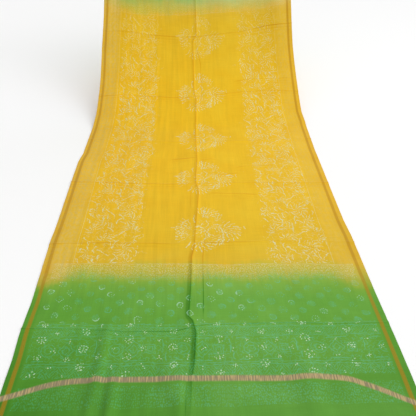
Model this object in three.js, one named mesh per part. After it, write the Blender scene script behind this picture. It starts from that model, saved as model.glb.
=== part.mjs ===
// Block printed dupatta: one length of fine silk and cotton cloth, woven in one piece with its zari
// borders and stripe. Its near half lies on the ground. Its far half sweeps up to the far end, by
// which it is held. Millimetres, +Z up, +Y from the near hem towards the far end, +X to the right.
import * as THREE from 'three';

// Driving dimensions
const clothWidth = 910;
const clothLength = 2500;
const clothThickness = 1.2;
const storageFolds = 8; // it was stored folded into this many layers

// The drape, a row for each section of the cloth. along: distance from the near hem. middle, edge:
// the cloth's slope in degrees on its centre line and at its two long edges. left, right: how far
// each long edge reaches from the centre line. The cloth draws in where it hangs.
const sections = [
  { along: 0, middle: 0, edge: 0, left: 455, right: 455 },
  { along: 220, middle: 0, edge: 0, left: 454, right: 454 },
  { along: 295, middle: 0, edge: 0, left: 458, right: 453 },
  { along: 400, middle: 0, edge: 0, left: 455, right: 451 },
  { along: 650, middle: 0, edge: 0, left: 461, right: 449 },
  { along: 720, middle: 0, edge: 0, left: 459, right: 445 },
  { along: 1110, middle: 0, edge: 0, left: 460, right: 446 },
  { along: 1170, middle: 0, edge: 0, left: 452, right: 446 },
  { along: 1335, middle: 0, edge: 0, left: 449, right: 450 },
  { along: 1370, middle: 6, edge: 7, left: 448, right: 450 },
  { along: 1400, middle: 15, edge: 16, left: 446, right: 450 },
  { along: 1460, middle: 19.5, edge: 21, left: 441, right: 443 },
  { along: 1630, middle: 29, edge: 31.5, left: 436, right: 442 },
  { along: 1815, middle: 39, edge: 42.5, left: 435, right: 437 },
  { along: 2000, middle: 49, edge: 52, left: 426, right: 437 },
  { along: 2180, middle: 59, edge: 61.5, left: 421, right: 435 },
  { along: 2360, middle: 69, edge: 70.5, left: 419, right: 434 },
  { along: 2500, middle: 76.5, edge: 77.5, left: 418, right: 434 },
];

// The crease down the middle, pressed in when the cloth was folded in half: a row for each place
// where its line bends. It stands as a narrow ridge.
const centreCrease = [
  { along: 0, across: -48 },
  { along: 220, across: -30 },
  { along: 320, across: -36 },
  { along: 600, across: -34 },
  { along: 850, across: -15 },
  { along: 1100, across: -7 },
  { along: 1400, across: -17 },
  { along: 2500, across: -22 },
];
const centreCreaseHeight = 5;
const centreCreaseHalf = 16;
const centreCreaseReach = 180; // the weave on each side follows the crease this far

// Cross creases left by storage, a row for each fold of the stored cloth: how far its crease lies
// beyond an even share of the length at the left edge, the middle and the right edge, and how high
// it stands
const crossCreases = [
  { fold: 1, left: -3, middle: -19, right: -12, height: 2.5 },
  { fold: 2, left: 9, middle: -6, right: -28, height: 3 },
  { fold: 3, left: 31, middle: 2, right: 0, height: 3 },
  { fold: 4, left: 2, middle: 0, right: 0, height: 3 },
  { fold: 5, left: 0, middle: -7, right: 12, height: 3 },
  { fold: 6, left: 43, middle: 4, right: 50, height: 3 },
  { fold: 7, left: 12, middle: -8, right: 14, height: 3 },
];
const crossCreaseHalf = 13;

// Soft folds that run lengthwise, a row for each: their line at start and end, how far along the
// cloth they reach, and their height and half width. Those at the near end lie on the ground. Those
// at the far end fan up to where the cloth is held.
const softFolds = [
  { at: -264, to: -238, start: -60, end: 330, height: 9, half: 27 },
  { at: -208, to: -212, start: -90, end: 190, height: 7, half: 21 },
  { at: -136, to: -134, start: -90, end: 165, height: 5, half: 27 },
  { at: 246, to: 240, start: -80, end: 240, height: 5, half: 58 },
  { at: -330, to: -350, start: 1420, end: 3300, height: 6, half: 88 },
  { at: -172, to: -160, start: 1500, end: 3500, height: -4, half: 84 },
  { at: 118, to: 130, start: 1450, end: 3400, height: 5, half: 92 },
  { at: 262, to: 282, start: 1480, end: 3500, height: -5, half: 86 },
  { at: 398, to: 404, start: 1500, end: 3300, height: 6, half: 66 },
];

// The mesh: how far apart its lines may be
const widestColumn = 44;
const longestRow = 84;
const hangingRow = 56;
const liftOff = 1335;
const slopeStep = 5;

const halfWidth = clothWidth / 2;
const foldPitch = clothLength / storageFolds;

// A value from a table's column, on a straight line between the two rows around the place
function between(rows, column, along) {
  const next = rows.findIndex((row) => row.along >= along);
  if (next === 0) {
    return rows[0][column];
  }
  const high = rows[next];
  const low = rows[next - 1];
  const share = (along - low.along) / (high.along - low.along);
  return low[column] + (high[column] - low[column]) * share;
}

// The side view of one line along the cloth, worked out by following its slope from the near hem
function sideView(column) {
  const places = [{ along: 0, y: 0, z: 0 }];
  for (let along = slopeStep; along <= clothLength; along += slopeStep) {
    const slope = THREE.MathUtils.degToRad(between(sections, column, along - slopeStep / 2));
    const last = places[places.length - 1];
    places.push({
      along,
      y: last.y + Math.cos(slope) * slopeStep,
      z: last.z + Math.sin(slope) * slopeStep,
    });
  }
  return places;
}

const middleView = sideView('middle');
const edgeView = sideView('edge');

// A soft bump, 1 on its line and 0 from its half width outwards
function bump(distance, half) {
  const share = Math.min(1, Math.abs(distance) / half);
  return (1 - share * share) ** 2;
}

// A pressed crease, a tent with a sharp top
function tent(distance, half) {
  return Math.max(0, 1 - Math.abs(distance) / half) ** 1.3;
}

// How far a cross crease lies from its even share of the length, on a smooth line across the cloth
function creaseOffset(crease, across) {
  const share = across / halfWidth;
  const side = share < 0 ? crease.left : crease.right;
  return crease.middle + (side - crease.middle) * share * share;
}

// How far the cloth stands out from its plain drape at a place
function lift(across, along) {
  const fromCrease = across - between(centreCrease, 'across', along);
  let height = centreCreaseHeight * tent(fromCrease, centreCreaseHalf);
  for (const crease of crossCreases) {
    const fromLine = along - crease.fold * foldPitch - creaseOffset(crease, across);
    height = Math.max(height, crease.height * tent(fromLine, crossCreaseHalf));
  }
  for (const fold of softFolds) {
    const share = (along - fold.start) / (fold.end - fold.start);
    const line = fold.at + (fold.to - fold.at) * share;
    const swell = share > 0 && share < 1 ? Math.sin(Math.PI * share) : 0;
    height += fold.height * swell * bump(across - line, fold.half);
  }
  return height;
}

// The place of a point of the cloth's underside, and the direction square to the plain drape there
function drapedPoint(across, along) {
  const edgeShare = (across / halfWidth) ** 2;
  const mix = (low, high) => low + (high - low) * edgeShare;
  const y = mix(between(middleView, 'y', along), between(edgeView, 'y', along));
  const z = mix(between(middleView, 'z', along), between(edgeView, 'z', along));
  const degrees = mix(between(sections, 'middle', along), between(sections, 'edge', along));
  const slope = THREE.MathUtils.degToRad(degrees);
  const side = across < 0 ? 'left' : 'right';
  const x = (across / halfWidth) * between(sections, side, along);
  const out = new THREE.Vector3(0, -Math.sin(slope), Math.cos(slope));
  return { point: new THREE.Vector3(x, y, z).addScaledVector(out, lift(across, along)), out };
}

// Places from low to high that hit every fixed one, with the gaps between them filled evenly
function filled(fixed, widest) {
  const places = [];
  const sorted = [...new Set(fixed)].sort((a, b) => a - b);
  for (let i = 0; i < sorted.length - 1; i += 1) {
    const gap = sorted[i + 1] - sorted[i];
    const parts = Math.ceil(gap / widest(sorted[i]));
    for (let part = 0; part < parts; part += 1) {
      places.push(sorted[i] + (gap * part) / parts);
    }
  }
  places.push(sorted[sorted.length - 1]);
  return places;
}

// Rows at the hems, at the lift-off and on each cross crease's foot, top and foot
function rowPlaces() {
  const fixed = [0, liftOff, clothLength];
  for (const crease of crossCreases) {
    const line = crease.fold * foldPitch;
    fixed.push(line - crossCreaseHalf, line, line + crossCreaseHalf);
  }
  return filled(fixed, (along) => (along < liftOff ? longestRow : hangingRow));
}

// Columns at the edges, on the centre crease's foot, top and foot, and on the near end's folds
function columnPlaces() {
  const fixed = [-halfWidth, halfWidth, -centreCreaseHalf, 0, centreCreaseHalf];
  for (const fold of softFolds.filter((row) => row.end < liftOff)) {
    fixed.push(fold.at - fold.half, fold.at, fold.at + fold.half);
  }
  return filled(fixed, () => widestColumn);
}

// Where a crossing of the mesh lies on the cloth. A column near the middle follows the crease down
// the middle sideways, and each row follows the cross creases on either side of it.
function woven(column, row) {
  const across = column + bump(column, centreCreaseReach) * between(centreCrease, 'across', row);
  const near = crossCreases.map((crease) => {
    const foldsAway = Math.abs(row / foldPitch - crease.fold);
    return Math.max(0, 1 - foldsAway) * creaseOffset(crease, across);
  });
  return { across, along: row + near.reduce((sum, offset) => sum + offset, 0) };
}

// One closed sheet: an underside, a top face a thickness away, and a narrow rim all round
function clothGeometry() {
  const rows = rowPlaces();
  const columns = columnPlaces();
  const wide = columns.length;
  const layer = rows.length * wide;
  const positions = new Float32Array(layer * 2 * 3);
  rows.forEach((row, r) => {
    columns.forEach((column, c) => {
      const { across, along } = woven(column, row);
      const { point, out } = drapedPoint(across, along);
      point.toArray(positions, (r * wide + c) * 3);
      point.addScaledVector(out, clothThickness).toArray(positions, (layer + r * wide + c) * 3);
    });
  });

  const faces = [];
  const quad = (a, b, c, d) => faces.push(a, b, c, a, c, d);
  for (let r = 0; r < rows.length - 1; r += 1) {
    for (let c = 0; c < wide - 1; c += 1) {
      const corner = r * wide + c;
      quad(corner, corner + wide, corner + wide + 1, corner + 1);
      quad(layer + corner, layer + corner + 1, layer + corner + wide + 1, layer + corner + wide);
    }
  }
  const rim = (a, b) => quad(a, b, b + layer, a + layer);
  for (let c = 0; c < wide - 1; c += 1) {
    rim(c, c + 1);
    rim(layer - wide + c + 1, layer - wide + c);
  }
  for (let r = 0; r < rows.length - 1; r += 1) {
    rim((r + 1) * wide, r * wide);
    rim(r * wide + wide - 1, (r + 1) * wide + wide - 1);
  }

  const geometry = new THREE.BufferGeometry();
  geometry.setAttribute('position', new THREE.BufferAttribute(positions, 3));
  geometry.setIndex(faces);
  geometry.computeVertexNormals();
  return geometry;
}

// The origin is on the ground, under the middle of the cloth's box
function onGround(geometry) {
  geometry.computeBoundingBox();
  const middle = geometry.boundingBox.getCenter(new THREE.Vector3());
  geometry.translate(-middle.x, -middle.y, -geometry.boundingBox.min.z);
  return geometry;
}

// Fine silk and cotton, dyed yellow with green ends
const silkCotton = new THREE.MeshStandardMaterial({ color: 0xe8bc25, roughness: 0.72, metalness: 0 });

const dupattaCloth = new THREE.Mesh(onGround(clothGeometry()), silkCotton);
dupattaCloth.name = 'dupatta_cloth';

const dupatta = new THREE.Group();
dupatta.add(dupattaCloth);

export default dupatta;
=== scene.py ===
import math
from functools import partial

import bpy
import numpy as np
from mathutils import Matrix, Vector


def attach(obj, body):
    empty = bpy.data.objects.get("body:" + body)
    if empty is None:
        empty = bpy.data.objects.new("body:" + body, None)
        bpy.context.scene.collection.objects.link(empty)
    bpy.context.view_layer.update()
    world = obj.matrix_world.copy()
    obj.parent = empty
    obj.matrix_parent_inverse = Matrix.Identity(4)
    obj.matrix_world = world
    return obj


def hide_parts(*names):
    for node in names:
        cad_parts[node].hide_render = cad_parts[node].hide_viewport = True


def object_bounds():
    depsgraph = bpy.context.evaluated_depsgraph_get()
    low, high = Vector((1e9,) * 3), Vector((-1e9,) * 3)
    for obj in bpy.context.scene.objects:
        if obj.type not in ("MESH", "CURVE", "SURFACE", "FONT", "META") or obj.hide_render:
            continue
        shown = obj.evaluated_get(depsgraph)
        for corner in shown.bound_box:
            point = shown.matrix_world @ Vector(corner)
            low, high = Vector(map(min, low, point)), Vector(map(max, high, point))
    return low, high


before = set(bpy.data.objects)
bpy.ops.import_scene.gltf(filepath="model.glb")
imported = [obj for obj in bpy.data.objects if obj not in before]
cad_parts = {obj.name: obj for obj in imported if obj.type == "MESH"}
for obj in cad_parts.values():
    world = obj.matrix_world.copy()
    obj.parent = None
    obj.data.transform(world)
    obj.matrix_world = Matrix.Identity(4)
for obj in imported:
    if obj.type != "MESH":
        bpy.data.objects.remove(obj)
clothNode = "dupatta_cloth"
cadLow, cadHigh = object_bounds()
print("frame loaded")

mm = 0.001  # the tables below are in millimetres, and Blender works in metres


def table(columns, *rows):
    # each row as a dictionary, under the names of its columns
    return [dict(zip(columns.split(), row)) for row in rows]


# The dupatta: one length of fine cloth. Its near half lies flat and its far half sweeps up.

cloth = {
    "width": 910.0,
    "length": 2500.0,
    "thickness": 0.4,
    "hemThickness": 0.9,
    "hem": 7.0,  # a narrow turned hem at both ends
    "underside": 0.15,  # gap to what it lies on
    "storageFolds": 8,
    "widestColumn": 11.0,
    "widestRow": 12.0,
    "sideColumn": 4.0,
    "hemRow": 0.6,
    "rowPastHem": 1.0,
    "slopeStep": 5.0,
    "sharpAngle": 60.0,
}

drape = {  # slopes in degrees on the centre line and at both edges, and how far each edge reaches
    "along": [0, 220, 295, 400, 650, 720, 1110, 1170, 1335,
              1370, 1400, 1460, 1630, 1815, 2000, 2180, 2360, 2500],
    "middle": [0, 0, 0, 0, 0, 0, 0, 0, 0,
               6, 15, 19.5, 29, 39, 49, 59, 69, 76.5],
    "edge": [0, 0, 0, 0, 0, 0, 0, 0, 0,
             7, 16, 21, 31.5, 42.5, 52, 61.5, 70.5, 77.5],
    "left": [455, 454, 458, 455, 461, 459, 460, 452, 449,
             448, 446, 441, 436, 435, 426, 421, 419, 418],
    "right": [455, 454, 453, 451, 449, 445, 446, 446, 450,
              450, 450, 443, 442, 437, 437, 435, 434, 434],
}

centreCrease = {  # pressed in when the cloth was folded in half
    "along": [0, 150, 200, 285, 322, 336, 450, 560, 610, 700, 800, 900, 928, 944, 1000, 1110,
              1150, 1300, 1450, 1540, 1600, 1860, 1890, 2500],
    "across": [-44, -40, -33, -28, -36, -46, -40, -37, -28, -24, -17, -11, -15, -20, -20, -14,
               -15, -18, -14, -12, -21, -22, -5, -12],
    "height": 1.9,
    "half": 11.0,
    "opened": (60.0, 220.0),  # it opens out from the second place to the first, near the hem
    "openHeight": 0.2,  # the share of its height that is left there
    "reach": 180.0,  # the weave on each side follows the crease this far
}

creaseStations = [-455, -330, -200, -60, 30, 200, 330, 455]
crossCreases = table(  # at each station: how far beyond an even share of the length, how deep the shade
    "fold beyond shades",
    (1, [-3, -8, -21, -24, -5, -5, -12, -12], [5, 2, 4, 6, 5, 3, 2, 3]),
    (2, [5, 7, 1, -6, -4, -1, -7, -14], [6, 9, 6, 4, 9, 4, 2, 2]),
    (3, [31, 23, 11, 3, 7, 6, 3, -1], [12, 9, 13, 5, 3, 4, 4, 3]),
    (4, [33, 14, 8, -2, -8, -1, 6, 12], [3, 2, 3, 2, 3, 2, 2, 6]),
    (5, [0, 8, -3, -12, -2, 18, 24, 15], [7, 6, 9, 10, 5, 5, 3, 5]),
    (6, [25, 26, 13, 4, 8, 26, 49, 53], [3, 4, 7, 9, 9, 4, 12, 13]),
    (7, [12, 6, 0, -8, -6, 0, 8, 14], [6, 6, 6, 6, 6, 6, 6, 6]),
)
crossCreaseHeight = 2.0
crossCreaseHalf = 9.0

shortCreases = table(  # little creases that cross only part of the cloth
    "across along shade",
    ([22, 110, 195], [885, 880, 871], 13),
    ([48, 80, 110, 148], [998, 1003, 1008, 1012], 8),
    ([128, 150, 165, 290], [1050, 1053, 1058, 1061], 6),
    ([-112, -60, -40, -12], [1113, 1116, 1120, 1128], 15),
    ([-10, 3, 15, 62], [1127, 1108, 1111, 1112], 6),
    ([303, 340, 368], [598, 587, 575], 13),
    ([160, 200, 250, 300, 430], [1640, 1646, 1655, 1653, 1650], 7),
)
shortCreaseHeight = 1.2
shortCreaseHalf = 9.0
shortCreaseFade = 20.0

sideCreases = table(  # painted shade lines beside the middle crease, where it was pressed twice
    "along across shade",
    ([50, 90, 160], [-53, -52, -50], 5),
    ([322, 400, 560, 660], [-9, -7, -5, 4], 8),
    ([790, 930], [-40, -38], 4),
    ([1500, 1560, 1740, 1870], [2, 13, 12, -15], 7),
)
sideCreaseFade = 35.0
creaseReach = 25.0  # no shade shows farther than this from a crease

softFolds = table(  # at, to: the fold's line at its start and end
    "at to start end height half",
    (-264, -241, -60, 350, 7, 18),
    (-215, -214, -90, 185, 9.5, 17),
    (-78, -60, -80, 210, 3, 17),
    (20, -105, -90, 200, 5, 40),
    (228, 222, -80, 240, 5, 52),
    (-330, -350, 1420, 3300, 6, 88),
    (-172, -160, 1500, 3500, -4, 84),
    (118, 130, 1450, 3400, 5, 92),
    (262, 282, 1480, 3500, -5, 86),
    (398, 404, 1500, 3300, 6, 66),
)
foldsOnGround = 5  # the first of them

waves = table(  # the faint unevenness of cloth that has been folded and shaken out
    "across along height phase",
    (74, 640, 0.22, 0.4),
    (-126, 410, 0.30, 2.1),
    (620, 61, 0.16, 1.2),
    (-480, 97, 0.20, 3.9),
)


def sideView(column):
    # follows the slope from the near hem: y and z against the distance along the cloth
    step = cloth["slopeStep"]
    along = np.arange(0.0, cloth["length"] + step, step)
    slope = np.radians(np.interp(along[:-1] + step / 2, drape["along"], drape[column]))
    y = np.concatenate([[0.0], np.cumsum(np.cos(slope) * step)])
    z = np.concatenate([[0.0], np.cumsum(np.sin(slope) * step)])
    return along, y, z


def bump(distance, half):
    return (1 - np.minimum(1, np.abs(distance) / half) ** 2) ** 2


creaseFoot = 1.3  # above 1, so that a pressed crease runs out softly


def tent(distance, half):
    return np.maximum(0, 1 - np.abs(distance) / half) ** creaseFoot


def creaseLine(along):
    return np.interp(along, centreCrease["along"], centreCrease["across"])


def foldRow(crease):
    return crease["fold"] * cloth["length"] / cloth["storageFolds"]


def span(values, start, end, fade):
    # 1 between start and end, fading to 0 at both
    return np.clip(np.minimum(values - start, end - values) / fade, 0, 1)


def shortCreaseOff(crease, across, along):
    # how far off a short crease a place is, and how much of the crease shows there
    line = np.interp(across, crease["across"], crease["along"])
    shown = span(across, crease["across"][0], crease["across"][-1], shortCreaseFade)
    return along - line, shown


def lift(across, along, row):
    pressed = np.interp(along, centreCrease["opened"], [centreCrease["openHeight"], 1.0])
    height = centreCrease["height"] * pressed * tent(across - creaseLine(along), centreCrease["half"])
    for crease in crossCreases:
        height = np.maximum(height, crossCreaseHeight * tent(row - foldRow(crease), crossCreaseHalf))
    for crease in shortCreases:
        off, shown = shortCreaseOff(crease, across, along)
        height = np.maximum(height, shortCreaseHeight * shown * tent(off, shortCreaseHalf))
    for fold in softFolds:
        share = (along - fold["start"]) / (fold["end"] - fold["start"])
        line = fold["at"] + (fold["to"] - fold["at"]) * share
        swell = np.sin(np.pi * np.clip(share, 0, 1))
        height = height + fold["height"] * swell * bump(across - line, fold["half"])
    for wave in waves:
        turn = 2 * np.pi * (across / wave["across"] + along / wave["along"]) + wave["phase"]
        height = height + wave["height"] * (1 + np.sin(turn))
    return height


def drapedPlaces(across, along, row):
    # the points of the cloth's underside, and the direction square to its drape
    edgeShare = (across / (cloth["width"] / 2)) ** 2
    steps, middleY, middleZ = sideView("middle")
    _, edgeY, edgeZ = sideView("edge")

    def mixed(low, high, at):
        return np.interp(along, at, low) * (1 - edgeShare) + np.interp(along, at, high) * edgeShare

    y = mixed(middleY, edgeY, steps)
    z = mixed(middleZ, edgeZ, steps)
    slope = np.radians(mixed(drape["middle"], drape["edge"], drape["along"]))
    left = np.interp(along, drape["along"], drape["left"])
    right = np.interp(along, drape["along"], drape["right"])
    x = across / (cloth["width"] / 2) * np.where(across < 0, left, right)
    out = np.stack([np.zeros_like(slope), -np.sin(slope), np.cos(slope)], axis=-1)
    places = np.stack([x, y, z], axis=-1)
    return places + out * (lift(across, along, row) + cloth["underside"])[..., None], out


def filled(fixed, widest):
    # lines that hit every fixed place, with the gaps between them filled evenly
    places = np.unique(np.round(fixed, 3))
    gaps = [np.linspace(low, high, max(2, math.ceil((high - low) / widest) + 1))[:-1]
            for low, high in zip(places[:-1], places[1:])]
    return np.concatenate(gaps + [places[-1:]])


def meshLines():
    # columns and rows stand close together on each crease, fold and hem
    steps = np.array([-1, -0.68, -0.42, -0.22, -0.1, 0, 0.1, 0.22, 0.42, 0.68, 1])
    half, side = cloth["width"] / 2, cloth["sideColumn"]
    columns = [-half, -half + side, half - side, half, *(steps * centreCrease["half"])]
    for fold in softFolds[:foldsOnGround]:
        columns += [fold["at"] + fold["half"] * share for share in (-1, -0.5, 0, 0.5, 1)]
    rows = [0, cloth["hemRow"], cloth["hem"], cloth["hem"] + cloth["rowPastHem"]]
    rows += [cloth["length"] - row for row in rows]
    for crease in crossCreases:
        rows += list(foldRow(crease) + steps * crossCreaseHalf)
    for crease in shortCreases:
        low, high = min(crease["along"]), max(crease["along"])
        rows += list(np.arange(low - shortCreaseHalf, high + shortCreaseHalf, shortCreaseHalf / 2))
    return filled(columns, cloth["widestColumn"]), filled(rows, cloth["widestRow"])


def woven(column, row):
    # where a crossing of the mesh lies on the cloth: its lines follow the creases
    along = row.copy()
    for crease in crossCreases:
        foldsAway = np.abs(row / cloth["length"] * cloth["storageFolds"] - crease["fold"])
        along += np.maximum(0, 1 - foldsAway) * np.interp(column, creaseStations, crease["beyond"])
    return column + bump(column, centreCrease["reach"]) * creaseLine(along), along


def crossShades(across, along, row):
    # how far off the nearest cross or short crease a place is, and how deep its shade is
    nearest = np.full(across.shape, creaseReach)
    shade = np.zeros(across.shape)
    offs = [(row - foldRow(crease), np.interp(across, creaseStations, crease["shades"]))
            for crease in crossCreases]
    for crease in shortCreases:
        off, shown = shortCreaseOff(crease, across, along)
        offs.append((np.where(shown > 0, off, creaseReach), crease["shade"] * shown))
    for off, depth in offs:
        close = np.abs(off) < np.abs(nearest)
        nearest = np.where(close, off, nearest)
        shade = np.where(close, depth, shade)
    return np.stack([across - creaseLine(along), nearest, shade], axis=-1)


def sideShades(across, along):
    # the same for the lines beside the middle crease
    off = np.full(across.shape, creaseReach)
    shade = np.zeros(across.shape)
    for crease in sideCreases:
        shown = span(along, crease["along"][0], crease["along"][-1], sideCreaseFade)
        line = np.interp(along, crease["along"], crease["across"])
        off = np.where(shown > 0, across - line, off)
        shade = np.where(shown > 0, crease["shade"] * shown, shade)
    return np.stack([off, shade, np.zeros_like(shade)], axis=-1)


def setPlaces(mesh, name, values):
    places = mesh.attributes.new(name, "FLOAT_VECTOR", "POINT")
    both = np.concatenate([values.reshape(-1, 3)] * 2)
    places.data.foreach_set("vector", (both * mm).ravel())


bakeMap = {  # in shares of the square: the face side, the reverse beside it and then the rim
    "gap": 0.004,
    "high": 0.992,
    "faceWide": 0.612,
    "reverseAt": 0.622,
    "reverseWide": 0.368,
    "rim": [0.9935, 0.9985, 0.9985, 0.9935],
}


def setBakeMap(mesh, across, along, front, rimCount):
    gap, high = bakeMap["gap"], bakeMap["high"]
    flat = np.stack([across / cloth["width"] + 0.5, along / cloth["length"]], axis=-1).reshape(-1, 2)
    faceSide = flat[front.ravel()] * [bakeMap["faceWide"], high] + gap
    reverse = flat[front[:, ::-1].ravel()] * [bakeMap["reverseWide"], high] + [bakeMap["reverseAt"], gap]
    share = gap + high * np.arange(rimCount + 1) / rimCount
    rim = np.empty((rimCount, 4, 2))
    rim[:, :, 0] = bakeMap["rim"]
    rim[:, :2, 1] = share[:-1, None]
    rim[:, 2:, 1] = share[1:, None]
    corners = np.concatenate([faceSide, reverse, rim.reshape(-1, 2)])
    mesh.uv_layers.new(name="OFBake").uv.foreach_set("vector", corners.ravel())


def addToScene(name, data, location=(0, 0, 0)):
    thing = bpy.data.objects.new(name, data)
    thing.location = location
    bpy.context.scene.collection.objects.link(thing)
    return thing


def makeCloth():
    columns, rows = meshLines()
    column, row = np.meshgrid(columns, rows)
    across, along = woven(column, row)
    under, out = drapedPlaces(across, along, row)
    fromEnd = np.minimum(row, cloth["length"] - row)
    thickness = np.where(fromEnd <= cloth["hem"], cloth["hemThickness"], cloth["thickness"])
    top = under + out * thickness[..., None]

    high, wide = across.shape
    layer = high * wide
    places = np.concatenate([top.reshape(-1, 3), under.reshape(-1, 3)]) * mm
    middleX = (places[:, 0].min() + places[:, 0].max()) / 2
    places += [(cadLow.x + cadHigh.x) / 2 - middleX, cadLow.y - places[:, 1].min(), cadLow.z]

    index = np.arange(layer).reshape(high, wide)
    front = np.stack([index[:-1, :-1], index[:-1, 1:], index[1:, 1:], index[1:, :-1]], axis=-1)
    front = front.reshape(-1, 4)
    back = front[:, ::-1] + layer
    ring = np.concatenate([index[0, :-1], index[:-1, -1], index[-1, :0:-1], index[:0:-1, 0]])
    after = np.roll(ring, -1)
    rim = np.stack([ring, ring + layer, after + layer, after], axis=-1)
    faces = np.concatenate([front, back, rim])

    mesh = bpy.data.meshes.new("dupattaCloth")
    mesh.from_pydata(places.tolist(), [], faces.tolist())
    side = np.zeros(len(faces), dtype=np.int32)
    side[len(front):len(front) + len(back)] = 1
    mesh.polygons.foreach_set("material_index", side)
    mesh.polygons.foreach_set("use_smooth", np.ones(len(faces), dtype=bool))
    mesh.update()
    mesh.set_sharp_from_angle(angle=math.radians(cloth["sharpAngle"]))
    setPlaces(mesh, "clothPlace", np.stack([across, along, np.zeros_like(across)], axis=-1))
    # these two carry where the painted crease shade falls and how dark it is
    setPlaces(mesh, "creasePlace", crossShades(across, along, row))
    setPlaces(mesh, "sidePlace", sideShades(across, along))
    setBakeMap(mesh, across, along, front, len(rim))

    return addToScene("dupatta", mesh)


dupatta = makeCloth()
print("cloth made:", len(dupatta.data.polygons), "faces")


# The finish: how nodes and colours are made

def linear(hexColour):
    # sRGB hex to the linear values that Blender's shaders take
    values = [int(hexColour[i:i + 2], 16) / 255 for i in (1, 3, 5)]
    return tuple(v / 12.92 if v <= 0.04045 else ((v + 0.055) / 1.055) ** 2.4 for v in values) + (1.0,)


mainSetting = {"Math": "operation", "VectorMath": "operation", "MapRange": "interpolation_type",
               "Mix": "data_type"}


def addNode(tree, kind, *inputs, **settings):
    # Adds a node with its settings, and gives its first output in use. kind is written with its main
    # setting, such as Math.ADD. The inputs come in the order of the sockets in use, or as a dictionary
    # by name: a socket is linked, and anything else is a value. Most functions below take this one as
    # add, with its tree already given.
    kind, _, mode = kind.partition(".")
    node = tree.nodes.new("ShaderNode" + kind)
    if mode:
        settings[mainSetting[kind]] = mode
    for name, value in settings.items():
        setattr(node, name, value)
    used = [socket for socket in node.inputs if socket.enabled]
    byName = inputs and isinstance(inputs[0], dict)
    pairs = inputs[0].items() if byName else enumerate(inputs)
    for key, value in pairs:
        socket = node.inputs[key] if isinstance(key, str) else used[key]
        if isinstance(value, bpy.types.NodeSocket):
            tree.links.new(value, socket)
        elif value is not None:
            socket.default_value = value
    return next((socket for socket in node.outputs if socket.enabled), None)


def newPattern(name, outputs):
    # an empty node group that takes a place on the cloth, in millimetres, and gives masks
    group = bpy.data.node_groups.new(name, "ShaderNodeTree")
    for way, sockets in (("INPUT", ("Across", "Along")), ("OUTPUT", outputs)):
        for socket in sockets:
            group.interface.new_socket(socket, in_out=way, socket_type="NodeSocketFloat")
    places = group.nodes.new("NodeGroupInput").outputs
    return partial(addNode, group), places["Across"], places["Along"]


def closePattern(masks):
    group = masks[0].id_data
    for end, mask in zip(group.nodes.new("NodeGroupOutput").inputs, masks):
        group.links.new(mask, end)
    return group


def combined(add, kind, parts):
    # several masks or values made into one, such as their product or the highest of them
    parts = [part for part in parts if part is not None]
    result = parts[0]
    for part in parts[1:]:
        result = add(kind, result, part)
    return result


def lineMask(add, off, half):
    # a printed line with soft edges, round the places where off is nought
    off = add("Math.ABSOLUTE", off)
    return add("MapRange.SMOOTHSTEP", off, half * block["blur"], half * (2 - block["blur"]))


def bandMask(add, value, start, end):
    return add("Math.COMPARE", value, (start + end) / 2, (end - start) / 2)


noiseSpread = 4.0  # stretches most of a noise's values over two whole units

unevenness = {  # how far apart soft patches lie, across and along the cloth, and their detail
    "warpSlubs": (2.6, 70.0, 2.0),  # real yarns lie 0.25 mm apart, too fine to show, so the slubs
    "weftSlubs": (70.0, 2.6, 2.0),  # are drawn ten times as far apart
    "broadStreaks": (13.0, 240.0, 2.0), "dyeStreaks": (8.0, 40.0, 2.0), "clouds": (110.0, 90.0, 3.0),
    "paleStrip": (9.0, 13.0, 1.0), "halos": (24.0, 24.0, 1.0), "fineBand": (55.0, 80.0, 1.0),
    "whiteRings": (90.0, 70.0, 0.0), "inking": (11.0, 11.0, 2.0), "vineSides": (22.0, 22.0, 1.0),
    "zariGlints": (3.2, 50.0, 1.0), "clothStrays": (75.0, 75.0, 0.0), "cutterStrays": (9.0, 9.0, 0.0),
    "twigBends": (17.5, 17.5, 0.0), "fleckBends": (10.64, 10.64, 0.0),
    "twigBreaks": (1.1, 1.1, 1.0),  # this one in cells
}


def patches(add, place, name):
    across, along, detail = unevenness[name]
    scaled = add("VectorMath.MULTIPLY", place, (1 / across, 1 / along, 1))
    return add("TexNoise", scaled, 1.0, detail, noise_dimensions="2D")


def strays(add, place, name, slack):
    # two uneven values, mostly from -slack to slack
    colour = patches(add, place, name).node.outputs["Color"]
    red, green, _ = add("SeparateColor", colour).node.outputs
    wide = slack * noiseSpread
    return [add("Math.MULTIPLY_ADD", value, wide, -wide / 2) for value in (red, green)]


# The block print: curved strokes and fans of petals, as the raised strips of a wooden block are

block = {
    "stroke": 1.25,  # half the width of a printed stroke
    "edgeSoft": 0.35,  # how far the dye creeps past a stroke's edge, as a share of its half width
    "blur": 1.5,  # a plain line's mask ends at this share of its half width
    "panelSlack": {"clothStrays": 1.8, "cutterStrays": 0.9},  # the cloth strays under the block, and
    "flowerSlack": {"clothStrays": 4.0, "cutterStrays": 1.7},  # the cutter's hand strays too
}

outsideFan = 9.0  # added to a squared distance to keep petals out

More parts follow.
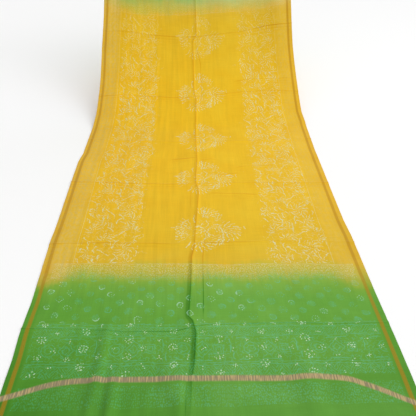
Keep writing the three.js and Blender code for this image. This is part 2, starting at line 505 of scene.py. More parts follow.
spray = {  # the big flowering spray down the middle of the cloth
    "first": 677.5,
    "pitch": 296.0,
    "across": 22.0,
    "reachX": 104.0,  # how far its twigs reach
    "reachY": 96.0,
    "twigShare": 0.55,  # of how strongly they show in the vines
    "rings": {  # each fan has three rings of petals, which start and end at shares of its reach
        "near": [0.10, 0.40, 0.76],
        "far": [0.32, 0.70, 1.0],
        "share": [0.5, 0.8, 1.0],  # of the fan's petals that stand in this ring
        "offset": [0.0, 0.0, 0.5],
        "half": [0.9, 1.2, 1.1],
    },
    "fans": [  # the place of each, its heading, spread and reach, how many petals, and how they curl
        (-14, 64, 90, 96, 58, 7, 0.45), (14, 50, 46, 50, 46, 3, -0.50),
        (-54, 16, 152, 116, 56, 8, -0.45), (-60, -12, 208, 84, 50, 5, 0.50),
        (38, -2, -6, 230, 54, 13, 0.50), (-28, -48, 268, 140, 48, 8, -0.45),
        (24, -36, 298, 56, 36, 3, 0.60), (-12, 4, 190, 200, 34, 6, -0.60),
        (2, 20, 20, 110, 32, 4, 0.60),
    ],
    "stems": [  # the middle of each stroke, its heading, its length and how far it bends
        (-8, 38, 97, 36, 6), (-9, -2, 76, 40, -7), (-17, 96, 86, 56, 3),
        (-86, 42, 60, 44, -8), (-106, 20, 178, 32, -3), (-30, 30, 46, 28, 3),
        (-50, 62, 84, 34, -3), (-20, -36, 68, 26, 4), (37, -10, 90, 52, 3),
        (28, 14, 84, 30, -3), (84, 20, 176, 24, 2), (105, 18, 92, 14, 0),
        (33, -56, 92, 22, 2), (20, -52, 86, 20, -1), (-62, -62, 60, 32, 4),
    ],
}

vine = {  # the dense flowering vine down both sides
    "pitch": 194.0,
    "left": -276.0,
    "right": 284.0,
    "leftStart": 803.0,
    "rightStart": 790.0,
    "half": 88.0,
    "straggle": 26.0,  # how unevenly its flowers end at its sides
    "rings": {
        "near": [0.12, 0.30, 0.64],
        "far": [0.20, 0.72, 1.0],
        "share": [0.5, 0.8, 1.0],
        "offset": [0.0, 0.5, 0.0],
        "half": [0.8, 1.15, 1.0],
    },
    "fans": [
        (40, -8, 350, 330, 34, 10, 0.9), (56, 78, 60, 250, 32, 8, -0.9),
        (-56, 84, 150, 240, 32, 8, 0.9), (-62, -20, 190, 230, 31, 7, -0.8),
        (-22, 38, 100, 230, 29, 7, 0.9), (64, 38, 10, 220, 25, 6, 0.8),
        (-30, -68, 250, 260, 32, 8, 0.8), (48, -60, 320, 250, 32, 8, -0.9),
    ],
    "stems": [
        (10, -62, 255, 34, 3), (27, -70, 328, 24, -3), (-3, -92, 268, 32, -3),
        (56, 96, 0, 22, 6), (68, 86, 275, 16, 3), (-81, -60, 288, 26, -2),
        (-36, -64, 280, 28, -3), (-78, 38, 318, 27, 3), (-68, 16, 282, 26, -2),
        (-46, -2, 272, 34, 6), (-19, -17, 311, 44, 0), (-27, -42, 273, 24, 1),
        (-86, -4, 252, 18, 1), (-79, -32, 290, 14, 0), (74, 32, 320, 12, 0),
        (18, -38, 306, 30, -2), (4, 20, 66, 40, -5), (20, 60, 40, 34, 4),
        (84, -30, 262, 26, -4), (84, 6, 285, 20, 3), (-4, 84, 120, 26, 4),
    ],
}

twigs = {"cell": 12.5, "half": 0.9, "bends": ("twigBends", 3.0)}  # fine strokes among the flowers
flecks = {"cell": 7.6, "half": 0.75, "bends": ("fleckBends", 2.0)}  # and finer in the end panels
twigShown = (0.45, 0.53)  # they break off between these values of the noise


def inRepeat(add, value, start, pitch):
    # the distance from the middle of the repeat that a place falls in
    return add("Math.WRAP", add("Math.SUBTRACT", value, start), pitch / 2, -pitch / 2)


def squaredDistance(add, off, past, half):
    # how far a place is off a stroke's line and past its end, put together, in half widths
    past = add("VectorMath.MAXIMUM", past, (0, 0, 0))
    past = add("VectorMath.MULTIPLY", past, past)
    near = add("VectorMath.MULTIPLY_ADD", off, off, past)
    return add("VectorMath.MULTIPLY", near, half ** -2.0)


def strokeDistance(add, across, along, strokes, nearest=None):
    # How far off the nearest curved stroke a place is, squared. Three strokes are worked out in
    # each vector: along and off a stroke, less its bend, and then past its end.
    x = add("CombineXYZ", across, across, across)
    y = add("CombineXYZ", along, along, along)
    for first in range(0, len(strokes), 3):
        rows = np.array((strokes[first:first + 3] * 3)[:3], dtype=float)
        atX, atY, heading, length, bend = rows.T
        cos, sin = np.cos(np.radians(heading)), np.sin(np.radians(heading))
        half = np.maximum(length / 2, 1.0)
        forward = add("VectorMath.MULTIPLY_ADD", y, sin, -(atX * cos + atY * sin))
        forward = add("VectorMath.MULTIPLY_ADD", x, cos, forward)
        aside = add("VectorMath.MULTIPLY_ADD", x, -sin, atX * sin - atY * cos)
        aside = add("VectorMath.MULTIPLY_ADD", y, cos, aside)
        square = add("VectorMath.MULTIPLY", forward, forward)
        off = add("VectorMath.MULTIPLY_ADD", square, -bend / half ** 2, aside)
        past = add("VectorMath.MULTIPLY_ADD", square, 0.5 / half, -half / 2)
        near = squaredDistance(add, off, past, np.full(3, block["stroke"]))
        nearest = combined(add, "VectorMath.MINIMUM", [nearest, near])
    return nearest


def fanDistance(add, across, along, piece):
    # the same for the petals of fans, whose three rings are worked out in each vector
    starts, ends, shares, offsets, halves = map(np.array, piece["rings"].values())
    nearest = None
    for fanX, fanY, heading, spread, reach, petals, turn in piece["fans"]:
        spread = math.radians(spread)
        x = add("Math.SUBTRACT", across, fanX)
        y = inRepeat(add, along, fanY, piece["pitch"])
        radius = add("VectorMath.LENGTH", add("CombineXYZ", x, y))
        angle = add("Math.ARCTAN2", y, x)
        angle = add("Math.MULTIPLY_ADD", radius, turn / reach, angle)
        angle = add("Math.SUBTRACT", angle, math.radians(heading))
        angle = add("Math.WRAP", angle, math.pi, -math.pi)
        step = spread / np.round(petals * shares)
        edges = (step * (offsets + 0.5), step * (offsets - 0.5))
        off = add("VectorMath.WRAP", add("CombineXYZ", angle, angle, angle), *edges)
        off = add("VectorMath.SUBTRACT", off, step * offsets)
        off = add("VectorMath.SCALE", off, radius)
        past = add("CombineXYZ", radius, radius, radius)
        past = add("VectorMath.SUBTRACT", past, reach * (starts + ends) / 2)
        past = add("VectorMath.ABSOLUTE", past)
        past = add("VectorMath.SUBTRACT", past, reach * (ends - starts) / 2 - halves)
        near = squaredDistance(add, off, past, halves)
        outside = add("Math.GREATER_THAN", add("Math.ABSOLUTE", angle), spread / 2)
        near = add("VectorMath.ADD", near, add("Math.MULTIPLY", outside, outsideFan))
        nearest = combined(add, "VectorMath.MINIMUM", [nearest, near])
    return nearest


def stamped(add, nearest):
    # from the squared distances of three strokes or rings to a mask with soft edges
    low = combined(add, "Math.MINIMUM", add("SeparateXYZ", nearest).node.outputs[:])
    edge, core = (1 + block["edgeSoft"]) ** 2, (1 - block["edgeSoft"]) ** 2
    return add("MapRange.SMOOTHSTEP", low, edge, core)


def wrapped(strokes, pitch):
    # a stroke that crosses the end of a repeat shows again at its start
    copies = []
    for x, y, *rest in strokes:
        reach = abs(rest[1] / 2 * math.sin(math.radians(rest[0]))) + block["stroke"] * 2
        copies += [(x, y + shift, *rest) for shift in (-pitch, pitch) if abs(y + shift) - reach < pitch / 2]
    return strokes + copies


def blockMask(add, x, y, piece):
    # the whole print of a block, with its fans and its stems
    nearest = fanDistance(add, x, y, piece)
    return stamped(add, strokeDistance(add, x, y, wrapped(piece["stems"], piece["pitch"]), nearest))


def twigMask(add, across, along, kind):
    # the edges between the cells of a net, bent and broken into short strokes
    place = add("CombineXYZ", across, along)
    bendX, bendY = strays(add, place, *kind["bends"])
    place = add("CombineXYZ", add("Math.ADD", across, bendX), add("Math.ADD", along, bendY))
    place = add("VectorMath.SCALE", place, 1 / kind["cell"])
    edges = add("TexVoronoi", place, 1.0, voronoi_dimensions="2D", feature="DISTANCE_TO_EDGE")
    shown = add("MapRange.SMOOTHSTEP", patches(add, place, "twigBreaks"), *twigShown)
    return add("Math.MULTIPLY", lineMask(add, edges, kind["half"] / kind["cell"]), shown)


def makeSprayPattern():
    add, across, along = newPattern("sprayPrint", ["Mask", "Inside"])
    x = add("Math.SUBTRACT", across, spray["across"])
    y = inRepeat(add, along, spray["first"], spray["pitch"])
    mask = blockMask(add, x, y, spray)
    place = add("VectorMath.ABSOLUTE", add("CombineXYZ", x, y))
    out = add("VectorMath.DOT_PRODUCT", place, (1 / spray["reachX"], 1 / spray["reachY"], 0))
    return closePattern([mask, add("Math.LESS_THAN", out, 1.0)])


def makeVinePattern():
    # the same block on both sides, not mirrored
    add, across, along = newPattern("vinePrint", ["Mask", "Inside"])
    onLeft = add("Math.LESS_THAN", across, 0.0)
    middle = add("MapRange", onLeft, 0.0, 1.0, vine["right"], vine["left"])
    x = add("Math.SUBTRACT", across, middle)
    start = add("MapRange", onLeft, 0.0, 1.0, vine["rightStart"], vine["leftStart"])
    y = inRepeat(add, along, start, vine["pitch"])
    mask = blockMask(add, x, y, vine)
    ragged = patches(add, add("CombineXYZ", across, along), "vineSides")
    ragged = add("Math.SUBTRACT", ragged, 0.5)
    ragged = add("Math.MULTIPLY_ADD", ragged, vine["straggle"] * noiseSpread, x)
    inside = add("Math.COMPARE", ragged, 0.0, vine["half"])
    return closePattern([add("Math.MULTIPLY", mask, inside), inside])


# The panel printed at each end, from the hem inwards

endPanel = {
    "middle": 1269.5,  # both ends' panels lie evenly about this place
    "side": 423.0,
    "lines": [194, 201, 280, 309, 317, 540],
    "line": 0.9,
    "border": {"middle": 240.0, "pitch": 160.0, "start": -32.0},
    "bars": [
        (-74, 10, 90, 38, 3), (-70, -22, 90, 18, -2), (-44, 31, 0, 26, 0),
        (-44, -31, 0, 26, 0), (20, 32, 0, 44, 0), (20, -32, 0, 44, 0),
    ],
    "nests": table(  # lines one inside the other, in each repeat of the border
        "form x wide high step end",
        ("round", -25, 18, 18, 8.8, 19),
        ("diamond", 18, 20, 25, 7.4, 17),
        ("square", 55, 12, 14, 5.6, 12),
    ),
    "chevrons": table(  # zigzag lines, one inside the other
        "start end pitch slope step",
        (164, 192, 34, 1.5, 9.5),
        (282, 308, 36, 1.3, 8.0),
    ),
    "slant": {"start": 11.0, "across": 0.036},  # how far the print drifts at its inner edge
}


def nestDistance(add, place, nest):
    # how far out a place is in a nest of rings, diamonds or squares
    off = add("VectorMath.SUBTRACT", place, (nest["x"], 0, 0))
    if nest["form"] == "round":
        return add("VectorMath.LENGTH", off)
    off = add("VectorMath.ABSOLUTE", off)
    if nest["form"] == "square":
        x, y, _ = add("SeparateXYZ", off).node.outputs
        return add("Math.MAXIMUM", x, add("Math.MULTIPLY", y, nest["wide"] / nest["high"]))
    deep = 1 / math.hypot(1 / nest["wide"], 1 / nest["high"])
    return add("VectorMath.DOT_PRODUCT", off, (deep / nest["wide"], deep / nest["high"], 0))


def makePanelPattern():
    # Along is the distance from the nearer hem
    add, across, along = newPattern("endPanelPrint", ["Mask"])
    half = endPanel["line"]
    three = add("CombineXYZ", along, along, along)
    nearest = None
    for first in range(0, len(endPanel["lines"]), 3):
        off = add("VectorMath.SUBTRACT", three, endPanel["lines"][first:first + 3])
        off = add("VectorMath.MULTIPLY", add("VectorMath.MULTIPLY", off, off), (half ** -2,) * 3)
        nearest = combined(add, "VectorMath.MINIMUM", [nearest, off])
    masks = [stamped(add, nearest)]

    border = endPanel["border"]
    x = inRepeat(add, across, border["start"], border["pitch"])
    y = add("Math.SUBTRACT", along, border["middle"])
    place = add("CombineXYZ", x, y)
    for nest in endPanel["nests"]:
        out = nestDistance(add, place, nest)
        off = add("Math.PINGPONG", out, nest["step"] / 2)
        within = add("Math.LESS_THAN", out, nest["end"])
        masks.append(add("Math.MULTIPLY", lineMask(add, off, half), within))
    masks.append(stamped(add, strokeDistance(add, x, y, endPanel["bars"])))

    for row in endPanel["chevrons"]:
        tooth = add("Math.PINGPONG", across, row["pitch"] / 2)
        off = add("Math.MULTIPLY_ADD", tooth, row["slope"], along)
        off = add("Math.PINGPONG", off, row["step"] / 2)
        band = bandMask(add, along, row["start"], row["end"])
        masks.append(add("Math.MULTIPLY", lineMask(add, off, half), band))

    within = add("Math.COMPARE", across, 0.0, endPanel["side"])
    return closePattern([add("Math.MULTIPLY", combined(add, "Math.MAXIMUM", masks), within)])


# Tied and dyed dots, in rings on a staggered lattice: over the green ground, and over the borders

dotRings = table(
    "name pitch row column first slant smallest biggest fewest most dot kept arcs",
    ("fieldRings", 52.8, 27.3, -199.0, 471.3, 0.063, 8.0, 11.5, 9, 13, 1.25, 0.78, 0.4),
    ("bigClusters", 212.0, 25.0, -294.0, 295.0, 0.0, 8.5, 12.5, 7, 10, 1.45, 0.85, 0.0),
    ("smallClusters", 70.7, 25.0, -329.0, 266.0, 0.0, 4.5, 8.5, 2, 5, 1.35, 0.85, 0.0),
)
arc = {"from": 0.1, "half": 0.7}  # where the arcs close a ring, and their width as a share of a dot's
underOne = 0.99  # added to the most, as a number of dots is rounded down

fineDots = {"wide": 3.9, "high": 7.0, "dot": 1.25, "randomness": 0.75}


def makeRingPattern(dots):
    # Each ring has its own size, turn and number of dots. Some of the dots are missing, and some
    # rings are half closed by an arc.
    add, across, along = newPattern(dots["name"], ["Mask", "Radius", "Chance"])
    drift = add("Math.SUBTRACT", across, dots["column"])
    along = add("Math.MULTIPLY_ADD", drift, dots["slant"], along)
    rowPlace = add("Math.MULTIPLY_ADD", along, 1 / dots["row"], -dots["first"] / dots["row"])
    row = add("Math.ROUND", rowPlace)
    odd = add("Math.WRAP", row, 2.0, 0.0)
    columnPlace = add("Math.MULTIPLY_ADD", across, 1 / dots["pitch"], -dots["column"] / dots["pitch"])
    columnPlace = add("Math.MULTIPLY_ADD", odd, 0.5, columnPlace)
    column = add("Math.ROUND", columnPlace)

    def chances(last):
        # three random values for a ring or a dot
        cell = add("CombineXYZ", column, row, last)
        return add("SeparateColor", add("TexWhiteNoise", cell).node.outputs["Color"]).node.outputs

    size, turn, kind = chances(dots["row"])
    x = add("Math.MULTIPLY", add("Math.SUBTRACT", columnPlace, column), dots["pitch"])
    y = add("Math.MULTIPLY", add("Math.SUBTRACT", rowPlace, row), dots["row"])
    radius = add("VectorMath.LENGTH", add("CombineXYZ", x, y))

    ring = add("MapRange", size, 0.0, 1.0, dots["smallest"], dots["biggest"])
    number = add("MapRange", kind, 0.0, 1.0, dots["fewest"], dots["most"] + underOne)
    number = add("Math.FLOOR", number)
    angle = add("Math.MULTIPLY_ADD", turn, 2 * math.pi, add("Math.ARCTAN2", y, x))
    step = add("Math.DIVIDE", 2 * math.pi, number)
    anglePlace = add("Math.DIVIDE", angle, step)
    which = add("Math.ROUND", anglePlace)
    off = combined(add, "Math.MULTIPLY", [add("Math.SUBTRACT", anglePlace, which), step, ring])
    stray, present, _ = chances(add("Math.WRAP", which, number, 0.0))
    present = add("Math.LESS_THAN", present, dots["kept"])
    past = add("Math.SUBTRACT", radius, ring)
    strayPast = add("Math.MULTIPLY_ADD", stray, dots["dot"] * 2, past)
    fromDot = add("VectorMath.LENGTH", add("CombineXYZ", off, strayPast))
    onRing = add("Math.MULTIPLY", lineMask(add, fromDot, dots["dot"]), present)
    masks = [onRing, lineMask(add, radius, dots["dot"])]
    if dots["arcs"]:
        closed = add("Math.GREATER_THAN", add("Math.SINE", angle), arc["from"])
        isArc = add("Math.LESS_THAN", size, dots["arcs"])
        arcs = lineMask(add, past, dots["dot"] * arc["half"])
        masks.append(combined(add, "Math.MULTIPLY", [closed, isArc, arcs]))
    return closePattern([combined(add, "Math.MAXIMUM", masks), radius, turn])


sprayPattern = makeSprayPattern()
vinePattern = makeVinePattern()
panelPattern = makePanelPattern()
ringPattern, bigPattern, smallPattern = [makeRingPattern(dots) for dots in dotRings]
print("prints made")


# Silk and cotton, hand woven with slubbed yarn, dip dyed and block printed. It gives the eye a dry,
# faintly glossy surface with fine streaks both ways, and a dye edge that creeps along the yarns.

silkCotton = {
    "finish": {"Roughness": 0.8, "Specular IOR Level": 0.2, "Sheen Weight": 0.04},
    "reverseStrength": 0.45,  # of the print, as the dye comes through on the reverse
    "slubShade": (0.7, 1.3, 0.964, 1.036),
    "slubDepth": 0.10,
    "streakShade": (-80.0, 160.0, 0.19, 0.07),  # broader streaks show more on the left
    "dye": [  # distance from the hem, and the colour there
        (0, "#599534"), (140, "#5d9735"), (300, "#639e36"), (400, "#68a23c"), (440, "#74a63c"),
        (460, "#80a93c"), (474, "#95ad3e"), (488, "#aaad3c"), (503, "#b9af37"), (524, "#c5b130"),
        (548, "#d8b228"), (600, "#dcb420"), (900, "#e5b81a"), (1270, "#e7b918"),
    ],
    "dyeSag": (340.0, 440.0, 0.0, 27.0),  # the yellow reaches nearer the hem at both sides
    "dyeSlant": 8.0,  # and nearer it on the right than on the left
    "farDye": (-300.0, 300.0, 12.0, 22.0),  # and nearer it at the far end, more so on the right
    "dyeCreep": 5.0,
    "cloudShare": 3.0,  # of it that comes in clouds, for each part in streaks
    "yellowFrom": (455.0, 520.0),  # where the ground turns yellow and its print cream
    "paintedLeftShade": (100.0, 300.0, 0.3, 0.13),  # painted shade: darker on the left, most of all near the hem
    "left": (-430.0, 60.0, 1.0, 0.0),
    "rightDepth": (150.0, 430.0, 1.0, 1.06),
    "selvedgeDepth": (425.0, 431.0, 0.0, 0.1),
    "cloudDepth": (0.3, 0.7, -0.05, 0.05),
    "farEnd": (1500.0, 1950.0),  # where its print begins to bow
    "farBow": 17.0,
    "bodyStart": 544.0,  # where the flowers begin
    "turquoise": "#64b588",
    "cream": "#d2d3a6",
    "white": "#dcefd6",
    "paleSide": "#d2b868",
    "sideLine": 372.0,  # a printed line, with a paler strip outside it
    "sideLineHalf": 1.0,
    "paleFrom": (364.0, 394.0),
    "paleShare": (-300.0, 300.0, 0.42, 0.2),
    "paleMottle": (0.35, 0.65, 0.5, 1.5),
    "bloom": "#e6efcf",  # the far end took the dye thinly
    "bloomFrom": (1980.0, 2130.0),
    "bloomShare": (-220.0, 150.0, 0.14, 0.34),
}

printBands = {  # how far from the hem each print starts and ends
    "fineDots": (86, 142), "flecks": (162, 322), "clusters": (166, 322), "rings": (322, 474),
    "paleBand": (478, 538),
}

ink = {  # how strongly each print covers the ground, and how unevenly
    "flowers": 0.94, "twigs": 0.36, "sideLine": 0.4, "panel": 0.62, "flecks": 0.48, "fineDots": 0.5,
    "paleBand": 0.54, "rings": 0.7, "halo": 0.3, "white": 0.72, "whiteRings": 0.4,
    "haloRadius": (14.0, 7.0), "haloPatches": (0.4, 0.65), "fineBand": (0.38, 0.6, 0.6, 1.0),
    "whitening": 1.6, "whiteLean": -0.0006, "whitened": (1.5, 1.65), "uneven": (0.36, 0.56),
    "thinnest": 0.5, "farFade": (1500.0, 2000.0, 1.0, 0.45),
}

creaseShading = {  # painted shade in the creases, as how much darker it makes the colour: "cross" is for each step of a crease's own shade
    "middle": 0.32, "middleHalf": 1.6, "band": (540.0, 640.0, 0.3, 0.07), "bandHalf": 6.0,
    "bandAside": 3.0, "cross": 0.046, "crossHalf": 1.5, "blur": 1.6, "uneven": (0.35, 0.6, 0.5, 1.2),
    "second": 13.0, "secondHalf": 1.3, "secondShare": 0.35,  # a fainter line beside each
}

zari = {  # metallic yarn, woven in: a stripe down both sides and one across each end
    "left": -439.0,
    "right": 435.8,
    "half": 4.8,
    "soft": 2.0,
    "colour": "#b5851a",
    "share": (0.58, 0.47),  # of the stripe's colour on green and on yellow
    "weftHalf": 7.0,
    "weftSoft": 3.0,
    "weftRose": "#8f8567",
    "weftGold": "#ccb57f",
    "weftPath": {
        "across": [-455, -430, -378, -337, -292, -232, -152, -18, 101, 166, 250, 307, 341, 386, 423, 455],
        "along": [115, 123, 141, 151, 156, 157, 156, 155, 152, 150, 151, 144, 131, 109, 88, 72],
    },
    "pathEnd": 200.0,
    "glintLine": (-300.0, 150.0, 0.6, 0.5),  # painted glints: fewer of them show on the left, away from the light
    "glints": (-0.1, 0.1, 0.05, 0.75),
    "metallic": 0.35,
}


def meshPlace(add, name):
    # a place that the mesh carries, in millimetres
    place = add("Attribute", attribute_name=name).node.outputs["Vector"]
    place = add("VectorMath.SCALE", place, 1 / mm)
    return place, add("SeparateXYZ", place).node.outputs


def placesOnCloth(add):
    # every place that the finish is worked out from
    place, (across, along, _) = meshPlace(add, "clothPlace")
    side = add("Math.ABSOLUTE", across)

    # the distance from the nearer hem, where the print of the far end is bowed
    share = add("Math.MULTIPLY", across, across)
    bow = add("MapRange", share, 0.0, (cloth["width"] / 2) ** 2, silkCotton["farBow"], 0.0)
    far = add("MapRange.SMOOTHSTEP", along, *silkCotton["farEnd"])
    fromMiddle = add("Math.SUBTRACT", add("Math.MULTIPLY_ADD", bow, far, along), endPanel["middle"])
    fromHem = add("Math.SUBTRACT", endPanel["middle"], add("Math.ABSOLUTE", fromMiddle))

    # the cloth strays a little under the block, whose flowers are set and cut by hand
    def strayed(x, y, slacks):
        for name, slack in slacks.items():
            strayX, strayY = strays(add, place, name, slack)
            x = add("Math.ADD", x, strayX)
            y = add("Math.ADD", y, strayY)
        return x, y

    panelX, panelY = strayed(across, fromHem, block["panelSlack"])
    flower = strayed(across, along, block["flowerSlack"])
    slant = add("Math.MULTIPLY_ADD", across, endPanel["slant"]["across"], endPanel["slant"]["start"])
    share = add("MapRange", fromHem, 0.0, silkCotton["bodyStart"], 0.0, 1.0)
    panel = (panelX, add("Math.MULTIPLY_ADD", slant, share, panelY))
    return {"place": place, "across": across, "along": along, "side": side, "fromHem": fromHem,
            "far": far, "panel": panel, "flower": flower}


def dyedGround(add, at):
    # the dip-dyed ground, and how far it is yellow: the dye creeps along the yarns
    streaks = patches(add, at["place"], "dyeStreaks")
    clouds = patches(add, at["place"], "clouds")
    share = silkCotton["cloudShare"]
    creep = add("Math.MULTIPLY_ADD", clouds, share, streaks)
    wide = silkCotton["dyeCreep"] * noiseSpread
    creep = add("Math.MULTIPLY_ADD", creep, wide, -wide * (1 + share) / 2)
    sag = add("MapRange.SMOOTHSTEP", at["side"], *silkCotton["dyeSag"])
    slant = add("Math.MULTIPLY_ADD", at["across"], silkCotton["dyeSlant"] * 2 / cloth["width"], sag)
    farDye = add("MapRange", at["across"], *silkCotton["farDye"])
    farShift = add("Math.MULTIPLY_ADD", at["far"], farDye, slant)
    dyed = combined(add, "Math.ADD", [at["fromHem"], farShift, creep])
    dyeEnd = silkCotton["dye"][-1][0]
    dye = add("ValToRGB", add("Math.DIVIDE", dyed, dyeEnd))
    stops = dye.node.color_ramp.elements
    for number, (distance, colour) in enumerate(silkCotton["dye"]):
        stop = stops[number] if number < 2 else stops.new(1.0)
        stop.position = distance / dyeEnd
        stop.color = linear(colour)
    yellow = add("MapRange.SMOOTHSTEP", dyed, *silkCotton["yellowFrom"])
    pale = add("MapRange.SMOOTHSTEP", at["side"], *silkCotton["paleFrom"])
    paleShare = add("MapRange", at["across"], *silkCotton["paleShare"])
    mottled = patches(add, at["place"], "paleStrip")
    mottled = add("MapRange", mottled, *silkCotton["paleMottle"])
    pale = combined(add, "Math.MULTIPLY", [pale, paleShare, mottled, yellow])
    ground = add("Mix.RGBA", pale, dye, linear(silkCotton["paleSide"]))
    bloom = add("MapRange.SMOOTHSTEP", at["along"], *silkCotton["bloomFrom"])
    bloom = add("Math.MULTIPLY", bloom, add("MapRange", at["across"], *silkCotton["bloomShare"]))
    return add("Mix.RGBA", bloom, ground, linear(silkCotton["bloom"])), yellow, clouds


def printed(add, at, ground, yellow, strength):
    # the block print over the ground, then the white dots. strength is less on the reverse
    panelX, panelY = at["panel"]

    def pattern(group, where):
        return add("Group", *at[where], node_tree=group).node.outputs

    def times(*parts):
        return combined(add, "Math.MULTIPLY", parts)

    def band(name):
        return bandMask(add, panelY, *printBands[name])

    body = add("Math.GREATER_THAN", panelY, silkCotton["bodyStart"])
    inside = add("Math.LESS_THAN", at["side"], endPanel["side"])
    spot = add("CombineXYZ", panelX, panelY)
    scaled = add("VectorMath.MULTIPLY", spot, (1 / fineDots["wide"], 1 / fineDots["high"], 1))
    fine = add("TexVoronoi", {"Vector": scaled, "Scale": 1.0, "Randomness": fineDots["randomness"]},
               voronoi_dimensions="2D")
    fine = lineMask(add, fine, fineDots["dot"] / fineDots["wide"])
    flowers = pattern(vinePattern, "flower")
    sprays = pattern(sprayPattern, "flower")
    panel = pattern(panelPattern, "panel")
    rings = pattern(ringPattern, "panel")
    sideLine = add("Math.COMPARE", at["side"], silkCotton["sideLine"], silkCotton["sideLineHalf"])
    inField = times(band("rings"), inside)
    shownRings = times(rings["Mask"], inField)
    patchy = add("MapRange", patches(add, spot, "halos"), *ink["haloPatches"])
    halo = add("MapRange.SMOOTHSTEP", rings["Radius"], *ink["haloRadius"])
    patchyBand = add("MapRange", patches(add, spot, "fineBand"), *ink["fineBand"])
    twig = twigMask(add, *at["flower"], twigs)
    fleck = twigMask(add, panelX, panelY, flecks)
    inSprays = add("Math.MULTIPLY", sprays["Inside"], spray["twigShare"])
    inFlowers = add("Math.MAXIMUM", flowers["Inside"], inSprays)
    cover = combined(add, "Math.MAXIMUM", [
        times(sprays["Mask"], body, ink["flowers"]), times(flowers["Mask"], body, ink["flowers"]),
        times(twig, inFlowers, body, ink["twigs"]), times(sideLine, body, ink["sideLine"]),
        times(panel["Mask"], ink["panel"]), times(fleck, band("flecks"), inside, ink["flecks"]),
        times(fine, band("fineDots"), inside, patchyBand, ink["fineDots"]),
        times(fine, band("paleBand"), inside, ink["paleBand"]), times(shownRings, ink["rings"]),
        times(halo, patchy, inField, ink["halo"]),
    ])
    whitened = patches(add, spot, "whiteRings")
    whitened = add("Math.MULTIPLY_ADD", whitened, ink["whitening"], rings["Chance"])
    whitened = add("Math.MULTIPLY_ADD", at["across"], ink["whiteLean"], whitened)
    whitened = add("MapRange", whitened, *ink["whitened"])
    big, small = pattern(bigPattern, "panel"), pattern(smallPattern, "panel")
    whites = add("Math.MAXIMUM", big["Mask"], small["Mask"])
    white = combined(add, "Math.MAXIMUM", [
        times(whites, inside, band("clusters"), ink["white"]),
        times(shownRings, whitened, ink["whiteRings"]),
    ])

    # a stamped block leaves its colour unevenly, and less at the far end
    inked = patches(add, at["place"], "inking")
    inked = add("MapRange", inked, *ink["uneven"], ink["thinnest"] * strength, strength)
    inked = times(inked, add("MapRange", at["along"], *ink["farFade"]))
    colours = add("Mix.RGBA", yellow, linear(silkCotton["turquoise"]), linear(silkCotton["cream"]))
    colour = add("Mix.RGBA", times(cover, inked), ground, colours)
    return add("Mix.RGBA", times(white, inked), colour, linear(silkCotton["white"]))


def paintedCreaseShade(add, at, clouds):
    # painted shade in the creases: a thin dark line on each, and a band on the middle one
    def line(off, half, depth):
        off = add("Math.ABSOLUTE", off)
        edges = (half * creaseShading["blur"], half * (2 - creaseShading["blur"]))
        return add("MapRange.SMOOTHSTEP", off, *edges, 0.0, depth)

    _, (fromMiddle, fromCross, crossDepth) = meshPlace(add, "creasePlace")
    _, (fromSide, sideDepth, _) = meshPlace(add, "sidePlace")
    band = add("Math.ADD", fromMiddle, creaseShading["bandAside"])
    bandDepth = add("MapRange", at["along"], *creaseShading["band"])
    band = add("Math.MULTIPLY", line(band, creaseShading["bandHalf"], 1.0), bandDepth)
    middle = line(fromMiddle, creaseShading["middleHalf"], creaseShading["middle"])
    middle = add("Math.ADD", middle, band)
    pressed = add("MapRange", at["along"], *centreCrease["opened"])
    middle = add("Math.MULTIPLY", middle, pressed)
    uneven = add("MapRange", clouds, *creaseShading["uneven"])
    cross = line(fromCross, creaseShading["crossHalf"], creaseShading["cross"])
    beside = add("Math.ADD", fromCross, creaseShading["second"])
    beside = line(beside, creaseShading["secondHalf"], creaseShading["cross"] * creaseShading["secondShare"])
    cross = add("Math.MULTIPLY", add("Math.ADD", cross, beside), crossDepth)
    side = line(fromSide, creaseShading["crossHalf"], creaseShading["cross"])
    others = add("Math.ADD", cross, add("Math.MULTIPLY", side, sideDepth))
    return add("Math.MAXIMUM", middle, add("Math.MULTIPLY", others, uneven))


def zariMasks(add, at):
    # the stripe down both sides, and the stripe across each end, whose path bends with the cloth
    def stripe(off, half, soft):
        return add("MapRange.SMOOTHSTEP", add("Math.ABSOLUTE", off), half + soft, half - soft)

    off = add("Math.SUBTRACT", at["across"], (zari["left"] + zari["right"]) / 2)
    off = add("Math.SUBTRACT", add("Math.ABSOLUTE", off), (zari["right"] - zari["left"]) / 2)
    sides = stripe(off, zari["half"], zari["soft"])
    path = add("FloatCurve", None, add("Math.MULTIPLY_ADD", at["across"], 1 / cloth["width"], 0.5))
    points = path.node.mapping.curves[0].points
    onPath = [(across / cloth["width"] + 0.5, along / zari["pathEnd"])
              for across, along in zip(zari["weftPath"]["across"], zari["weftPath"]["along"])]
    points[0].location = onPath[0]
    points[1].location = onPath[-1]
    for spot in onPath[1:-1]:
        points.new(*spot)
    path.node.mapping.update()
    off = add("Math.MULTIPLY_ADD", path, -zari["pathEnd"], at["fromHem"])
    return sides, stripe(off, zari["weftHalf"], zari["weftSoft"])


def newMaterial(name, finish):
    # a material with the same values all over, on its shader's own sockets
    material = bpy.data.materials.new(name)
    material.use_nodes = True
    shader = material.node_tree.nodes["Principled BSDF"]
    for socket, value in finish.items():
        shader.inputs[socket].default_value = value
    return material, shader


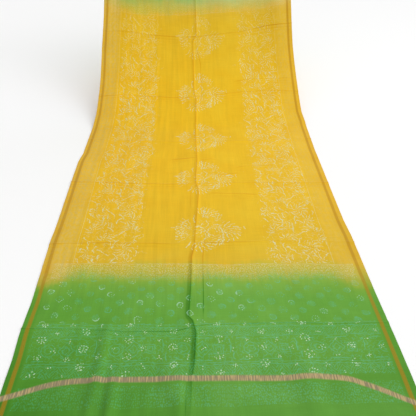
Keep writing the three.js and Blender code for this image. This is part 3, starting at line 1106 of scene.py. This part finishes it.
def makeClothMaterial(name, strength):
    material, shader = newMaterial(name, silkCotton["finish"])
    add = partial(addNode, material.node_tree)
    at = placesOnCloth(add)
    ground, yellow, clouds = dyedGround(add, at)
    colour = printed(add, at, ground, yellow, strength)

    # painted shade deepens the colour in pressed creases and on the left; the dye is deeper in the
    # selvedges
    paintedLeftShade = add("MapRange", at["fromHem"], *silkCotton["paintedLeftShade"])
    left = add("Math.MULTIPLY", add("MapRange", at["across"], *silkCotton["left"]), paintedLeftShade)
    right = add("MapRange", at["across"], *silkCotton["rightDepth"])
    selvedge = add("MapRange", at["side"], *silkCotton["selvedgeDepth"])
    cloudy = add("MapRange", clouds, *silkCotton["cloudDepth"])
    depth = combined(add, "Math.ADD", [left, right, paintedCreaseShade(add, at, clouds), selvedge, cloudy])
    colour = add("Gamma", colour, depth)

    # slubs show both ways
    slubs = add("Math.ADD", patches(add, at["place"], "warpSlubs"),
                patches(add, at["place"], "weftSlubs"))
    light = add("MapRange", slubs, *silkCotton["slubShade"])
    streaks = add("Math.SUBTRACT", patches(add, at["place"], "broadStreaks"), 0.5)
    streakShade = add("MapRange", at["across"], *silkCotton["streakShade"])
    light = add("Math.MULTIPLY_ADD", streaks, streakShade, light)
    colour = add("VectorMath.SCALE", colour, light)

    # the zari, rose where the weft shows and gold where the metal does; the gold's bright glints are partly
    # a painted highlight
    sides, weft = zariMasks(add, at)
    share = add("MapRange", yellow, 0.0, 1.0, *zari["share"])
    gold = add("Mix.RGBA", share, colour, linear(zari["colour"]))
    colour = add("Mix.RGBA", sides, colour, gold)
    glints = patches(add, at["place"], "zariGlints")
    glints = add("Math.SUBTRACT", glints, add("MapRange", at["across"], *zari["glintLine"]))
    glints = add("MapRange.SMOOTHSTEP", glints, *zari["glints"])
    gold = add("Mix.RGBA", glints, linear(zari["weftRose"]), linear(zari["weftGold"]))
    colour = add("Mix.RGBA", weft, colour, gold)
    metal = add("Math.MULTIPLY", add("Math.MAXIMUM", sides, weft), zari["metallic"])
    relief = add("Bump", {"Height": slubs, "Distance": silkCotton["slubDepth"] * mm})
    for socket, value in (("Base Color", colour), ("Metallic", metal), ("Normal", relief)):
        material.node_tree.links.new(value, shader.inputs[socket])
    return material


strengths = {"printedSilkCotton": 1.0, "silkCottonReverse": silkCotton["reverseStrength"]}
for name, strength in strengths.items():
    dupatta.data.materials.append(makeClothMaterial(name, strength))
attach(dupatta, "root")
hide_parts(clothNode)
print("cloth finished")


# The studio: a pale floor, a white surround and one soft light from the right

studio = {
    "floorSize": 14.0,
    "floorColour": "#f8f8f8",
    "floorRoughness": 0.95,
    "surround": 1.0,
    "rightShare": 0.8,  # how much brighter than the rest the white surround is on the right
    "keyPlace": (2.4, -0.2, 2.6),
    "keyTarget": (0.0, -0.1, 0.0),
    "keySize": 1.4,
    "keyPower": 10.0,
    "cameraHeight": 0.967,
    "cameraBack": 0.523,  # from the near hem
    "cameraAside": -0.021,
    "cameraTurn": (53.87, 0.0, -1.8),
    "lens": 43.27,
}


def makeStudio():
    scene = bpy.context.scene
    half = studio["floorSize"] / 2
    sheet = bpy.data.meshes.new("floor")
    corners = [(-half, -half, 0), (half, -half, 0), (half, half, 0), (-half, half, 0)]
    sheet.from_pydata(corners, [], [(0, 1, 2, 3)])
    # matt paper gives the eye a white ground without gloss
    paper = {"Base Color": linear(studio["floorColour"]), "Roughness": studio["floorRoughness"]}
    sheet.materials.append(newMaterial("mattPaper", paper)[0])
    addToScene("floor", sheet)

    world = bpy.data.worlds.new("studio")
    world.use_nodes = True
    background = world.node_tree.nodes["Background"]
    background.inputs["Color"].default_value = (1, 1, 1, 1)
    add = partial(addNode, world.node_tree)
    fromRight = add("SeparateXYZ", add("TexCoord").node.outputs["Generated"])
    surround = studio["surround"]
    strength = add("Math.MULTIPLY_ADD", fromRight, surround * studio["rightShare"], surround)
    world.node_tree.links.new(strength, background.inputs["Strength"])
    scene.world = world

    key = bpy.data.lights.new("key", "AREA")
    key.size = studio["keySize"]
    key.energy = studio["keyPower"]
    keyLight = addToScene("key", key, studio["keyPlace"])
    towards = Vector(studio["keyTarget"]) - Vector(studio["keyPlace"])
    keyLight.rotation_euler = towards.to_track_quat("-Z", "Y").to_euler()

    lens = bpy.data.cameras.new("camera")
    lens.lens = studio["lens"]
    camera = addToScene("camera", lens, (
        studio["cameraAside"] + (cadLow.x + cadHigh.x) / 2, cadLow.y - studio["cameraBack"],
        studio["cameraHeight"]))
    camera.rotation_euler = [math.radians(angle) for angle in studio["cameraTurn"]]
    scene.camera = camera
    scene.view_settings.view_transform = "Standard"


makeStudio()
print("studio made")
